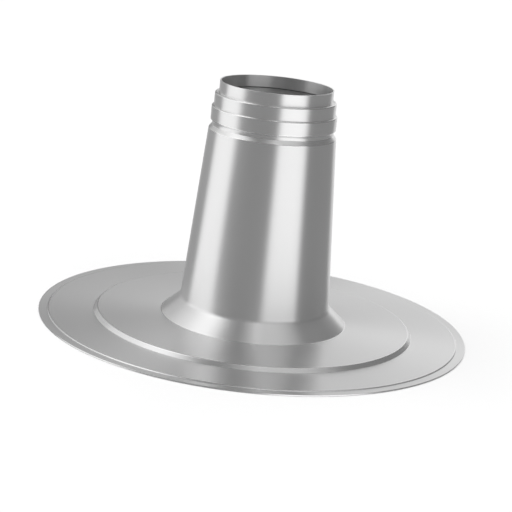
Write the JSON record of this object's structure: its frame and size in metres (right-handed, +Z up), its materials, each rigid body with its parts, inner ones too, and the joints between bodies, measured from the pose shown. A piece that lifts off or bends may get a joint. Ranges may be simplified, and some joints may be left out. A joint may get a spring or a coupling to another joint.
{
  "type": "pipe flashing boot",
  "caption": "Seamless spun sheet flashing for a round pipe through a flat roof: stepped round flange, flare, tapered cone, rolled groove and stepped collars at the open top.",
  "frame": {"origin": "on the boot's axis, in the plane of the rim's underside, where it lies on the roof", "axes": "+Z up along the axis, out of the top collar; the boot is a body of revolution, so +X and +Y are any two directions across it"},
  "size_m": [0.5, 0.5, 0.2816],
  "materials": {
    "spun_sheet": "satin, as spun"
  },
  "bodies": {
    "root": {"flashing_boot": "spun_sheet"}
  },
  "joints": []
}
